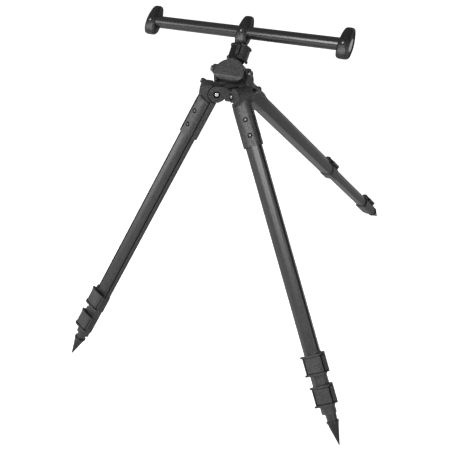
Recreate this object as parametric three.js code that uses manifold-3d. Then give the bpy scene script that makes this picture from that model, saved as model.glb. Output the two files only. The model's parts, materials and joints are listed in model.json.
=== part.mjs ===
// Surf rod tripod: three telescopic legs on a cast hub, and a tilting head that carries a rod bar
import * as THREE from 'three';
import { mergeVertices } from 'three/addons/utils/BufferGeometryUtils.js';
import Module from 'manifold-3d';

const wasm = await Module();
wasm.setup();

// Driving dimensions, in millimetres and degrees
const GAP = 0.3;
const FRONT_SPLAY = 29.6;
const FRONT_AZIMUTH = 60;
const BACK_EXTENSION = 220;

// Leg profile: half its width along the hinge, its reach towards and away from the hub,
// where the slants begin on the sides, and half the width of the ridge between them
const UPPER = { half: 13.2, inner: 13.5, outer: 15.5, shoulder: 4.5, ridge: 2.8, corner: 4, wall: 1.5 };
const MID = { half: 10.4, inner: 11, outer: 12.6, shoulder: 3.4, ridge: 2.2, corner: 3.4, wall: 1.4 };
const LOWER = { half: 8, inner: 8.6, outer: 9.6, shoulder: 2.6, ridge: 1.8, corner: 2.8, wall: 1.3 };
const GROOVE_DEPTH = 0.8;
const GROOVE_WIDTH = 1.8;
const GROOVE_PLACE = -5;

// Stations along a leg, measured down from its hinge
const HINGE_RADIUS = 25;
const LEG_OFFSET = 9;
const BRACKET_END = 93;
const TUBE_START = 38;
const CLAMP_TOP = 460;
const CLAMP_HEIGHT = 43;
const RING_HEIGHT = 12;
const FOOT_COLLAR = 13;
const FOOT_STEP = 13;
const SPIKE_LENGTH = 44;
const TIP_RADIUS = 1;

// Hinge between hub and leg
const KNEE_HALF_WIDTH = 8.5;
const LUG_THICKNESS = 6.1;
const LUG_RADIUS = 15;
const SMALL_LUG_RADIUS = 10.5;
const LUG_ROOM = 1.4;
const KNEE_RADIUS = 12.5;
const SHOULDER_RADIUS = 15.5;
const SHOULDER_PLACE = { out: 15, up: -5 };
const BOLT_RADIUS = 4;
const BOSS_LENGTH = 14.5;
const BRACKET_WALL = 2.4;
const SCREW_STATIONS = [46, 74];

// Lever lock on a leg
const UPPER_CLAMP_WALL = 1.2;
const LOWER_CLAMP_WALL = 2.6;
const CLAMP_FALL = 12;
const LEVER_THICKNESS = 2.8;
const LEVER_STANDOFF = 3.6;
const LEVER_FLARE = 3.5;
const LEVER_HEIGHT = 36;
const LEVER_LIP = 3.4;
const LEVER_PROUD = 1.6;
const PIN_RADIUS = 1.5;
const PIN_CLEARANCE = 0.2;
const BARREL_RADIUS = 3.2;

// Tilting head
const PIVOT = { y: 4, z: 36 };
const HEAD_TILT = 40.7;
const BAR_HEIGHT = 74.3;
const TILT_BOLT_RADIUS = 3;
const KNUCKLE_HALF_WIDTH = 30;
const KNUCKLE_HALF_DEPTH = 9;
const KNUCKLE_REACH = 21.5;
const NECK_RADIUS = 11;
const STEM_RADIUS = 8;
const COLLAR_BOTTOM = 20.3;
const COLLAR_TOP = 47;
const STEM_FLANGE_TOP = 51.5;

// Rod bar
const BAR_RADIUS = 11;
const BAR_HALF_LENGTH = 202;
const REST_SPACING = 194;
const REST_UP = 31;
const REST_DOWN = 25.5;
const REST_WIDTH = 27;
const REST_HALF = 11.5;

// Legs: side is where the bracket's screws and the levers' tabs lie, lockSide the hinge's lever
const LEGS = [
  { name: 'left', azimuth: -90 - FRONT_AZIMUTH, side: -1, lockSide: 1, extension: 0 },
  { name: 'right', azimuth: -90 + FRONT_AZIMUTH, side: 1, lockSide: -1, extension: 0 },
  { name: 'back', azimuth: 90, side: -1, lockSide: -1, extension: BACK_EXTENSION },
];

const degrees = THREE.MathUtils.degToRad;

// Finishes, as the photograph shows them
const finishes = {
  painted_tube: { color: 0x3b3c3e, roughness: 0.42, metalness: 0.35 },
  cast_hub: { color: 0x343537, roughness: 0.5, metalness: 0.3 },
  moulded_black: { color: 0x2a2b2c, roughness: 0.55, metalness: 0 },
  lever_black: { color: 0x323335, roughness: 0.45, metalness: 0 },
  rest_rubber: { color: 0x222223, roughness: 0.6, metalness: 0 },
  bolt_steel: { color: 0x9a9b9d, roughness: 0.3, metalness: 0.9 },
  spike_steel: { color: 0x2e2f31, roughness: 0.4, metalness: 0.6 },
};

// Solid helpers

function toSolid(geometry) {
  const bare = geometry.clone();
  bare.deleteAttribute('normal');
  bare.deleteAttribute('uv');
  const merged = mergeVertices(bare, 1e-4);
  const vertProperties = Float32Array.from(merged.attributes.position.array);
  const triVerts = Uint32Array.from(merged.index.array);
  return new wasm.Manifold(new wasm.Mesh({ numProp: 3, vertProperties, triVerts }));
}

function toGeometry(solid) {
  const result = solid.getMesh();
  const geometry = new THREE.BufferGeometry();
  geometry.setAttribute('position', new THREE.BufferAttribute(result.vertProperties, 3));
  geometry.setIndex(new THREE.BufferAttribute(result.triVerts, 1));
  return geometry;
}

function piece(name, solid, finish) {
  const geometry = solid.isBufferGeometry ? solid : toGeometry(solid);
  geometry.computeVertexNormals();
  const mesh = new THREE.Mesh(geometry, new THREE.MeshStandardMaterial(finishes[finish]));
  mesh.name = name;
  return mesh;
}

// Extrudes a shape drawn in X and Y along Z, from low to high
function prism(shape, low, high, curveSegments = 3) {
  const depth = high - low;
  const geometry = new THREE.ExtrudeGeometry(shape, { depth, bevelEnabled: false, curveSegments });
  geometry.translate(0, 0, low);
  return toSolid(geometry);
}

// Extrudes a shape drawn in Y and Z along X, from low to high
function prismAlongX(shape, low, high, curveSegments = 3) {
  const depth = high - low;
  const geometry = new THREE.ExtrudeGeometry(shape, { depth, bevelEnabled: false, curveSegments });
  const toYZ = new THREE.Matrix4().set(0, 0, 1, low, 1, 0, 0, 0, 0, 1, 0, 0, 0, 0, 0, 1);
  geometry.applyMatrix4(toYZ);
  return toSolid(geometry);
}

// Extrudes a shape drawn in X and Z along Y, from low to high
function prismAlongY(shape, low, high, curveSegments = 3) {
  const depth = high - low;
  const geometry = new THREE.ExtrudeGeometry(shape, { depth, bevelEnabled: false, curveSegments });
  const toXZ = new THREE.Matrix4().set(1, 0, 0, 0, 0, 0, -1, high, 0, 1, 0, 0, 0, 0, 0, 1);
  geometry.applyMatrix4(toXZ);
  return toSolid(geometry);
}

// Turns a profile of [radius, height] pairs about Z
function turned(profile, segments = 16) {
  const points = profile.map(([radius, height]) => new THREE.Vector2(radius, height));
  const geometry = new THREE.LatheGeometry(points, segments);
  geometry.rotateX(Math.PI / 2);
  return toSolid(geometry);
}

function rod(radius, low, high, segments = 16) {
  return turned([[0, low], [radius, low], [radius, high], [0, high]], segments);
}

function rodAlongX(radius, low, high, segments = 16) {
  return rod(radius, low, high, segments).rotate([0, 90, 0]);
}

function roundedRectangle(width, depth, corner, centreY = 0) {
  const x = width / 2;
  const y = depth / 2;
  const shape = new THREE.Shape();
  shape.moveTo(-x + corner, centreY - y);
  shape.lineTo(x - corner, centreY - y);
  shape.absarc(x - corner, centreY - y + corner, corner, -Math.PI / 2, 0);
  shape.lineTo(x, centreY + y - corner);
  shape.absarc(x - corner, centreY + y - corner, corner, 0, Math.PI / 2);
  shape.lineTo(-x + corner, centreY + y);
  shape.absarc(-x + corner, centreY + y - corner, corner, Math.PI / 2, Math.PI);
  shape.lineTo(-x, centreY - y + corner);
  shape.absarc(-x + corner, centreY - y + corner, corner, Math.PI, Math.PI * 1.5);
  return shape;
}

// Outline round two circles, with the straight tangents between them
function twoCircleOutline(first, second, steps = 8) {
  const dx = second.x - first.x;
  const dy = second.y - first.y;
  const heading = Math.atan2(dy, dx);
  const spread = Math.acos((first.r - second.r) / Math.hypot(dx, dy));
  const points = [];
  for (let i = 0; i <= steps; i += 1) {
    const angle = heading - spread + (i / steps) * spread * 2;
    points.push([second.x + second.r * Math.cos(angle), second.y + second.r * Math.sin(angle)]);
  }
  for (let i = 0; i <= steps; i += 1) {
    const angle = heading + spread + (i / steps) * (Math.PI - spread) * 2;
    points.push([first.x + first.r * Math.cos(angle), first.y + first.r * Math.sin(angle)]);
  }
  return polygon(points);
}

function polygon(points) {
  return new THREE.Shape(points.map(([x, y]) => new THREE.Vector2(x, y)));
}

// Draws a polygon of [x, y, setback] corners, each rounded from its setback on both edges
function roundedPolygon(corners) {
  const shape = new THREE.Shape();
  corners.forEach(([x, y, setback = 0], i) => {
    const before = corners[(i + corners.length - 1) % corners.length];
    const after = corners[(i + 1) % corners.length];
    const towards = ([toX, toY]) => {
      const share = setback / Math.hypot(toX - x, toY - y);
      return [x + (toX - x) * share, y + (toY - y) * share];
    };
    const start = towards(before);
    if (i === 0) shape.moveTo(...start);
    else shape.lineTo(...start);
    if (setback > 0) shape.quadraticCurveTo(x, y, ...towards(after));
  });
  return shape;
}

// Where a leg profile's slant meets its side and its ridge, when the profile is grown all round
function slantEnds(size, grow) {
  const rise = size.outer - size.shoulder;
  const run = size.half - size.ridge;
  const length = Math.hypot(rise, run);
  const normal = { x: rise / length, y: run / length };
  return {
    normal,
    low: { x: size.half + grow, y: size.shoulder + grow * (1 - normal.x) / normal.y },
    high: { x: size.ridge + grow * (1 - normal.y) / normal.x, y: size.outer + grow },
  };
}

// Leg profile: flat inner side, two sides, two broad slants and a narrow ridge facing outward
function legCorners(size, grow, soft) {
  const { low, high } = slantEnds(size, grow);
  const inner = -size.inner - grow;
  const corner = soft * size.corner;
  const bend = 0.45 * size.half;
  const crest = soft * 0.75 * size.ridge;
  return [
    [-low.x, inner, corner], [low.x, inner, corner], [low.x, low.y, bend],
    [high.x, high.y, crest], [-high.x, high.y, crest], [-low.x, low.y, bend],
  ];
}

function legOutline(size, grow, soft = 1) {
  return roundedPolygon(legCorners(size, grow, soft));
}

// The upper tube's two drawn grooves: one along a side and one beside the ridge
function groovedOutline(size, grow) {
  const corners = legCorners(size, grow, 1);
  corners[4][2] = 0;
  const side = -size.half - grow;
  const middle = GROOVE_PLACE;
  const reach = GROOVE_WIDTH / 2;
  corners.push(
    [side, middle + reach], [side + GROOVE_DEPTH, middle + reach / 2],
    [side + GROOVE_DEPTH, middle - reach / 2], [side, middle - reach]);
  const { low, high, normal } = slantEnds(size, grow);
  const length = Math.hypot(low.x - high.x, low.y - high.y);
  const share = GROOVE_WIDTH / length;
  const foot = [-high.x - (low.x - high.x) * share, high.y + (low.y - high.y) * share];
  corners.splice(5, 0,
    [-high.x + normal.x * 0.2, high.y - GROOVE_DEPTH * 1.3],
    [foot[0] + normal.x * 0.2, foot[1] - normal.y * 0.2], foot);
  return roundedPolygon(corners);
}

function legTube(size, top, bottom, grooved = false) {
  const shape = grooved ? groovedOutline(size, 0) : legOutline(size, 0);
  shape.holes.push(legOutline(size, -size.wall, 0));
  return prism(shape, -bottom, -top).translate([0, LEG_OFFSET, 0]);
}

function boreFor(size, top, bottom) {
  return prism(legOutline(size, GAP, 0), -bottom, -top).translate([0, LEG_OFFSET, 0]);
}

// Leg bracket: hinge knee, round outer shoulder and the sleeve that holds the upper tube
function bracketSolid() {
  const half = UPPER.half + BRACKET_WALL;
  const knee = { x: 0, y: 0, r: KNEE_RADIUS };
  const shoulder = { x: SHOULDER_PLACE.out, y: SHOULDER_PLACE.up, r: SHOULDER_RADIUS };
  const head = prismAlongX(twoCircleOutline(knee, shoulder), -half + 0.4, half - 0.4, 3);
  const sleeve = prism(groovedOutline(UPPER, BRACKET_WALL), -BRACKET_END, -14)
    .translate([0, LEG_OFFSET, 0]);
  let bracket = head.add(sleeve);
  // Beside the knee the bracket stands back from the hub's lugs
  bracket = bracket
    .subtract(rodAlongX(LUG_RADIUS + LUG_ROOM, -half - 1, -KNEE_HALF_WIDTH, 28))
    .subtract(rodAlongX(SMALL_LUG_RADIUS + LUG_ROOM, KNEE_HALF_WIDTH, half + 1, 24))
    .subtract(prismAlongX(
      polygon([[-12, -30], [-4, -22], [-2, -4], [20, 18], [20, 24], [-40, 24]]), KNEE_HALF_WIDTH, half + 1));
  // A slit runs from the shoulder's side down to the lug
  const slit = polygon([[24, -12], [8, -18.4], [4, -16], [4, -18], [7.4, -20.4], [24, -13.6]]);
  bracket = bracket.subtract(prismAlongX(slit, -half - 1, -half + 2.6))
    .subtract(prismAlongX(slit, half - 2.6, half + 1));
  bracket = bracket.subtract(boreFor(UPPER, TUBE_START, BRACKET_END + 1));
  bracket = bracket.subtract(rodAlongX(BOLT_RADIUS + GAP, -half - 1, half + 1, 12));
  // Shallow seats on both slants for the screws that pin the tube
  const { normal, low, high } = slantEnds(UPPER, BRACKET_WALL);
  const turn = THREE.MathUtils.radToDeg(Math.atan2(normal.y, normal.x));
  for (const station of SCREW_STATIONS) {
    const seat = rodAlongX(3.6, -0.9, 2, 10).rotate([0, 0, turn])
      .translate([(low.x + high.x) / 2, LEG_OFFSET + (low.y + high.y) / 2, -station]);
    bracket = bracket.subtract(seat).subtract(seat.mirror([1, 0, 0]));
  }
  return bracket;
}

// Hinge bolt: socket head sunk in one lug, plain shank through both
function hingeBolt(lockSide) {
  const lugOuter = KNEE_HALF_WIDTH + GAP + LUG_THICKNESS;
  const shank = rodAlongX(BOLT_RADIUS, -lugOuter - 8, lugOuter - 2.5, 12);
  const head = rodAlongX(6, lugOuter - 3, lugOuter - 0.6);
  const socket = rodAlongX(2.6, lugOuter - 1.9, lugOuter + 1, 6);
  const bolt = shank.add(head).subtract(socket);
  return lockSide < 0 ? bolt : bolt.mirror([1, 0, 0]);
}

// Crank lever that tightens the hinge bolt: long boss, arm and round grip
function lockLever(lockSide) {
  const inner = KNEE_HALF_WIDTH + 2 * GAP + LUG_THICKNESS;
  const end = inner + BOSS_LENGTH;
  const boss = rodAlongX(7.2, inner, end);
  const arm = prismAlongX(
    twoCircleOutline({ x: 0, y: 0, r: 6 }, { x: 21, y: 0, r: 3.6 }, 5), end - 5.5, end - 1);
  const grip = turned([
    [0, 17], [3.7, 17], [5, 25], [5.2, 30], [4.2, 32.5], [0, 33.2],
  ], 12).rotate([-90, 0, 0]).translate([end - 3.25, 0, 0]);
  const bore = rodAlongX(BOLT_RADIUS + GAP, inner - 1, inner + 8.5, 12);
  const lever = boss.add(arm).add(grip).subtract(bore).rotate([30, 0, 0]);
  return lockSide > 0 ? lever : lever.mirror([1, 0, 0]);
}

// Lever lock body: a sleeve under the tube above, open where the next tube slides
function clampBody(outer, innerTube, wall, top, side, ring) {
  const bottom = top + ring + CLAMP_HEIGHT;
  const seat = top + ring + 24;
  const low = LEG_OFFSET - outer.inner - wall - 1;
  const high = LEG_OFFSET + outer.outer;
  let body = prism(legOutline(outer, wall), -bottom, -top).translate([0, LEG_OFFSET, 0]);
  // Behind the lever the top edge falls away along a curve and shows the tube
  const start = -top - (ring > 0 ? ring - 2 : 0);
  if (ring === 0) {
    const fall = new THREE.Shape();
    fall.moveTo(high, start + 1);
    fall.lineTo(high - 5, start - 1);
    fall.bezierCurveTo(high - 9, start - CLAMP_FALL, high - 15, start - CLAMP_FALL,
      low, start - CLAMP_FALL + 2);
    fall.lineTo(low, start + 1);
    body = body.subtract(prismAlongX(fall, -30, 30, 6));
  }
  // Two hinge ears on one slant carry the lever's pin
  const pin = leverPin(outer, wall, side);
  const leverTop = top + ring + (CLAMP_HEIGHT - LEVER_HEIGHT) / 2;
  const leverBottom = leverTop + LEVER_HEIGHT;
  const root = { x: pin.x * 0.5, y: LEG_OFFSET + (pin.y - LEG_OFFSET) * 0.5, r: BARREL_RADIUS };
  for (const [from, to] of [[leverTop, leverTop + 5], [leverBottom - 5, leverBottom]]) {
    const ear = twoCircleOutline(root, { x: pin.x, y: pin.y, r: BARREL_RADIUS }, 5);
    body = body.add(prism(ear, -to, -from));
  }
  body = body.subtract(
    rod(PIN_RADIUS + PIN_CLEARANCE, -leverBottom - 1, -leverTop + 1, 8).translate([pin.x, pin.y, 0]));
  body = body.subtract(boreFor(outer, top - 1, seat));
  body = body.subtract(boreFor(innerTube, seat - 1, bottom + 1));
  return body;
}

// The lever's pin stands on the slant away from the lever's free end
function leverPin(outer, wall, side) {
  const { low, high } = slantEnds(outer, wall + BARREL_RADIUS + GAP);
  const share = 0.42;
  return {
    x: -side * (high.x + (low.x - high.x) * share),
    y: LEG_OFFSET + high.y + (low.y - high.y) * share,
  };
}

// Lever: a plate over the ridge, one slant and one side, with a lip along both ends
function clampLever(outer, wall, top, side, ring) {
  const pin = leverPin(outer, wall, 1);
  const near = wall + LEVER_STANDOFF;
  const start = -1;
  const plate = (proud, from, to) => {
    const inside = slantEnds(outer, near);
    const outside = slantEnds(outer, near + LEVER_THICKNESS + proud);
    const end = -1;
    const shape = roundedPolygon([
      [start, inside.high.y], [inside.high.x, inside.high.y, 1.5], [inside.low.x, inside.low.y, 3],
      [inside.low.x + LEVER_FLARE, end], [outside.low.x + LEVER_FLARE + proud, end - 0.5, 1],
      [outside.low.x, outside.low.y, 3], [outside.high.x, outside.high.y, 2], [start, outside.high.y],
    ]);
    return prism(shape, -to, -from).translate([0, LEG_OFFSET, 0]);
  };
  const leverTop = top + ring + (CLAMP_HEIGHT - LEVER_HEIGHT) / 2;
  const leverBottom = leverTop + LEVER_HEIGHT;
  let lever = plate(0, leverTop, leverBottom);
  lever = lever.add(plate(LEVER_PROUD, leverTop, leverTop + LEVER_LIP));
  lever = lever.add(plate(LEVER_PROUD, leverBottom - LEVER_LIP, leverBottom));
  // Between the body's ears a barrel and a web join the plate to its pin
  const edge = LEG_OFFSET + slantEnds(outer, near).high.y + LEVER_THICKNESS / 2;
  const web = twoCircleOutline(
    { x: pin.x, y: pin.y, r: BARREL_RADIUS }, { x: start + 0.6, y: edge, r: LEVER_THICKNESS / 2 }, 5);
  lever = lever.add(prism(web, -leverBottom + 5 + GAP, -leverTop - 5 - GAP));
  lever = lever.subtract(
    rod(PIN_RADIUS + PIN_CLEARANCE, -leverBottom - 1, -leverTop + 1, 8).translate([pin.x, pin.y, 0]));
  return side > 0 ? lever : lever.mirror([1, 0, 0]);
}

function leverPinSolid(outer, wall, top, side, ring) {
  const pin = leverPin(outer, wall, side);
  const leverTop = top + ring + (CLAMP_HEIGHT - LEVER_HEIGHT) / 2;
  return rod(PIN_RADIUS, -leverTop - LEVER_HEIGHT + 0.4, -leverTop - 0.4, 8)
    .translate([pin.x, pin.y, 0]);
}

// Foot: a moulded collar and neck on the end of the lower tube
function footSolid(top) {
  const collar = prism(legOutline(LOWER, 3.6), -top - FOOT_COLLAR, -top).translate([0, LEG_OFFSET, 0]);
  const waist = top + FOOT_COLLAR + FOOT_STEP;
  const neck = turned([
    [0, -waist], [9, -waist], [9.8, -top - FOOT_COLLAR + 1], [0, -top - FOOT_COLLAR + 1],
  ]).translate([0, LEG_OFFSET, 0]);
  return collar.add(neck)
    .subtract(boreFor(LOWER, top - 1, top + FOOT_COLLAR - 3))
    .subtract(rod(4 + GAP, -waist - 1, -waist + 12, 8).translate([0, LEG_OFFSET, 0]));
}

// Spike: a flanged steel cone with a threaded spigot up into the foot
function spikeSolid(top) {
  const tip = top + SPIKE_LENGTH;
  const cone = turned([
    [0, -tip], [TIP_RADIUS * 0.8, TIP_RADIUS * 0.4 - tip], [10.4, -top - 3.4], [11.4, -top - 3],
    [11.4, -top - GAP], [0, -top - GAP],
  ]);
  const spigot = rod(4, -top - 1, -top + 11, 8);
  return cone.add(spigot).translate([0, LEG_OFFSET, 0]);
}

// One leg in its hinge frame: X along the hinge, Y out from the hub, Z up the leg
function makeLeg(name, side, extension) {
  const leg = new THREE.Group();
  const upperEnd = CLAMP_TOP + 23;
  const lowerClampTop = CLAMP_TOP + CLAMP_HEIGHT + GAP;
  const footTop = lowerClampTop + RING_HEIGHT + CLAMP_HEIGHT + GAP;
  const spikeTop = footTop + FOOT_COLLAR + FOOT_STEP;
  leg.add(piece(`${name}_bracket`, bracketSolid(), 'cast_hub'));
  leg.add(piece(`${name}_upper_tube`, legTube(UPPER, TUBE_START + GAP, upperEnd, true), 'painted_tube'));
  leg.add(piece(
    `${name}_upper_clamp`, clampBody(UPPER, MID, UPPER_CLAMP_WALL, CLAMP_TOP, side, 0), 'moulded_black'));
  leg.add(piece(
    `${name}_upper_lever`, clampLever(UPPER, UPPER_CLAMP_WALL, CLAMP_TOP, side, 0), 'lever_black'));
  leg.add(piece(
    `${name}_upper_lever_pin`, leverPinSolid(UPPER, UPPER_CLAMP_WALL, CLAMP_TOP, side, 0), 'bolt_steel'));
  const mid = new THREE.Group();
  mid.position.z = -extension;
  leg.add(mid);
  const midEnd = lowerClampTop + RING_HEIGHT + 23;
  mid.add(piece(`${name}_mid_tube`, legTube(MID, BRACKET_END + 10, midEnd), 'painted_tube'));
  mid.add(piece(
    `${name}_lower_clamp`, clampBody(MID, LOWER, LOWER_CLAMP_WALL, lowerClampTop, side, RING_HEIGHT),
    'moulded_black'));
  mid.add(piece(
    `${name}_lower_lever`, clampLever(MID, LOWER_CLAMP_WALL, lowerClampTop, side, RING_HEIGHT),
    'lever_black'));
  mid.add(piece(
    `${name}_lower_lever_pin`, leverPinSolid(MID, LOWER_CLAMP_WALL, lowerClampTop, side, RING_HEIGHT),
    'bolt_steel'));
  mid.add(piece(
    `${name}_lower_tube`, legTube(LOWER, BRACKET_END + 30, footTop + FOOT_COLLAR - 3 - GAP),
    'painted_tube'));
  mid.add(piece(`${name}_foot`, footSolid(footTop), 'moulded_black'));
  mid.add(piece(`${name}_spike`, spikeSolid(spikeTop), 'spike_steel'));
  leg.userData.tip = spikeTop + SPIKE_LENGTH + extension;
  return leg;
}

// Hub: three clevises joined by webs round a triangular core, and two cheeks for the head
function hubSolid() {
  const core = [];
  const inradius = HINGE_RADIUS - KNEE_RADIUS - 1.2;
  for (let i = 0; i < 3; i += 1) {
    const web = degrees(-90 + 120 * i);
    for (const turn of [-14, 14]) {
      const angle = web + degrees(turn);
      const reach = inradius / Math.cos(degrees(60 - 14));
      core.push([reach * Math.cos(angle), reach * Math.sin(angle)]);
    }
  }
  let hub = prism(polygon(core), -13, 12);
  const inner = KNEE_HALF_WIDTH + GAP;
  for (const { azimuth } of LEGS) {
    for (const side of [-1, 1]) {
      const low = side > 0 ? inner : -inner - LUG_THICKNESS;
      const root = side > 0 ? { x: HINGE_RADIUS - 12, y: 1.5, r: 9 } : { x: HINGE_RADIUS - 12, y: 3, r: 10 };
      const radius = side > 0 ? SMALL_LUG_RADIUS : LUG_RADIUS;
      const lug = twoCircleOutline(root, { x: HINGE_RADIUS, y: 0, r: radius });
      const plate = prismAlongX(lug, low, low + LUG_THICKNESS);
      hub = hub.add(plate.rotate([0, 0, azimuth - 90]));
    }
  }
  // Cheeks stand on the outer lugs of the front legs
  const cheekInner = KNUCKLE_HALF_WIDTH + GAP;
  for (const side of [-1, 1]) {
    const outline = polygon([
      [1.4, 8.6], [15, 8.6], [15.5, 15], [PIVOT.y + 8.6, PIVOT.z - 4], [PIVOT.y + 8.8, PIVOT.z + 2],
      [PIVOT.y + 6.5, PIVOT.z + 6.5], [PIVOT.y + 2, PIVOT.z + 8.8], [PIVOT.y - 3, PIVOT.z + 8.5],
      [PIVOT.y - 7.4, PIVOT.z + 5], [PIVOT.y - 9, PIVOT.z], [PIVOT.y - 7.6, PIVOT.z - 4.6],
      [1.4, PIVOT.z - 9],
    ]);
    const low = side > 0 ? cheekInner : -cheekInner - 5.5;
    hub = hub.add(prismAlongX(outline, low, low + 5.5));
    const far = side * (cheekInner + 5.5);
    const shelf = polygon([
      [side * 12, 6.5], [side * 26.5, -1.2], [far, 1.4], [far, 15], [side * 21.4, 24], [side * 16, 24],
    ]);
    hub = hub.add(prism(shelf, 8.6, 14.6));
  }
  // Room for the brackets, the hinge bolts and the head
  for (const { azimuth, lockSide } of LEGS) {
    const wide = UPPER.half + BRACKET_WALL + GAP;
    const beyond = prismAlongX(polygon([[0, -60], [60, -60], [60, 60], [0, 60]]), -wide, inner)
      .subtract(rodAlongX(LUG_RADIUS + 0.1, -wide - 1, -inner, 24))
      .add(prismAlongX(polygon([[0, -60], [60, -60], [60, 60], [-24, 60], [0, 0]]), inner, wide)
        .subtract(rodAlongX(SMALL_LUG_RADIUS + 0.1, inner - 1, wide + 1, 24)));
    const room = rodAlongX(KNEE_RADIUS + 0.8, -inner, inner, 20).add(beyond)
      .translate([0, HINGE_RADIUS, 0]);
    hub = hub.subtract(room.rotate([0, 0, azimuth - 90]));
    hub = hub.subtract(boltSpan(azimuth, lockSide));
  }
  const sweep = rodAlongX(KNUCKLE_REACH + 1, -cheekInner, cheekInner, 24)
    .translate([0, PIVOT.y, PIVOT.z]);
  hub = hub.subtract(sweep);
  hub = hub.subtract(rodAlongX(TILT_BOLT_RADIUS + GAP, -60, 60, 10).translate([0, PIVOT.y, PIVOT.z]));
  return hub;
}

// Clearance for one hinge bolt, with a sunk seat for its head and room for its lock lever
function boltSpan(azimuth, lockSide) {
  const lugOuter = KNEE_HALF_WIDTH + GAP + LUG_THICKNESS;
  const shank = rodAlongX(BOLT_RADIUS + 0.1, -lugOuter - 1, lugOuter + 1, 12);
  const seat = rodAlongX(6.3, lugOuter - 3.3, lugOuter + 9, 16);
  const boss = rodAlongX(7.8, -lugOuter - BOSS_LENGTH - 1, -lugOuter);
  const span = shank.add(seat).add(boss).translate([0, HINGE_RADIUS, 0]);
  return (lockSide < 0 ? span : span.mirror([1, 0, 0])).rotate([0, 0, azimuth - 90]);
}

// Tilt knuckle: shield-shaped block with a bevelled lower edge and a split neck
function knuckleSolid() {
  const shield = new THREE.Shape();
  shield.moveTo(0, -KNUCKLE_REACH);
  shield.lineTo(24, -16);
  shield.quadraticCurveTo(30, -14.5, 30, -8);
  shield.bezierCurveTo(30, 2, 26, 12, 12, 17.5);
  shield.lineTo(-12, 17.5);
  shield.bezierCurveTo(-26, 12, -30, 2, -30, -8);
  shield.quadraticCurveTo(-30, -14.5, -24, -16);
  const block = prismAlongY(shield, -KNUCKLE_HALF_DEPTH, KNUCKLE_HALF_DEPTH, 6);
  const d = KNUCKLE_HALF_DEPTH;
  const side = polygon([
    [-d, 18], [-d, -12.5], [-5, -18], [0, -20.5], [5, -18], [d, -12.5], [d, 18],
  ]);
  const lowSide = polygon([
    [-d, 18], [-d, -13.5], [-4, -KNUCKLE_REACH], [4, -KNUCKLE_REACH], [d, -13.5], [d, 18],
  ]);
  const bounded = block.intersect(prismAlongX(lowSide, -31, 31));
  const swept = bounded.intersect(prismAlongX(side, -31, 31));
  const neck = turned([
    [0, 15], [12.5, 15], [12.5, 19.6], [NECK_RADIUS, 20.2], [NECK_RADIUS, COLLAR_TOP - 2],
    [0, COLLAR_TOP - 2],
  ], 20);
  const bore = rod(STEM_RADIUS + GAP, 6, COLLAR_TOP);
  const slot = prism(roundedRectangle(2, 16, 0.5, -8), 24, COLLAR_TOP, 2);
  return swept.add(neck).subtract(bore).subtract(slot)
    .subtract(rodAlongX(TILT_BOLT_RADIUS + GAP, -40, 40, 10));
}

// Tilt bolt through cheeks and knuckle, below the blind bore of the neck
function tiltBolt() {
  const end = KNUCKLE_HALF_WIDTH + GAP + 5.5;
  const shank = rodAlongX(TILT_BOLT_RADIUS, -end - 3.2, end + 1, 10);
  const head = rodAlongX(5.2, end + GAP, end + 5);
  return shank.add(head).subtract(rodAlongX(2.2, end + 2.5, end + 6, 6));
}

function tiltNut() {
  const end = KNUCKLE_HALF_WIDTH + GAP + 5.5;
  return rodAlongX(6, -end - 5, -end - GAP, 6)
    .subtract(rodAlongX(TILT_BOLT_RADIUS + PIN_CLEARANCE, -end - 6, 0, 10));
}

// Collar on the neck, with a lip at both ends and ears for its lever
function collarSolid() {
  const outer = 14.6;
  const lip = 16.4;
  const low = COLLAR_BOTTOM + GAP;
  const ring = turned([
    [NECK_RADIUS + GAP, low], [lip, low], [lip, low + 2.6], [outer, low + 3.4],
    [outer, COLLAR_TOP - 3.4], [lip, COLLAR_TOP - 2.6], [lip, COLLAR_TOP],
    [NECK_RADIUS + GAP, COLLAR_TOP], [NECK_RADIUS + GAP, low],
  ], 20);
  let collar = ring;
  const pin = collarPin();
  for (const [from, to] of [[low, low + 4], [COLLAR_TOP - 4, COLLAR_TOP]]) {
    const eye = prism(twoCircleOutline(
      { x: pin.x * 0.72, y: pin.y * 0.72, r: 3.4 }, { x: pin.x, y: pin.y, r: 3.2 }, 5), from, to);
    collar = collar.add(eye);
  }
  return collar
    .subtract(rod(NECK_RADIUS + GAP, low - 1, COLLAR_TOP + 1, 20))
    .subtract(rod(PIN_RADIUS + PIN_CLEARANCE, low - 1, COLLAR_TOP + 1, 8).translate([pin.x, pin.y, 0]));
}

function collarPin() {
  const angle = degrees(-62);
  return { x: 18.6 * Math.cos(angle), y: 18.6 * Math.sin(angle) };
}

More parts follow.
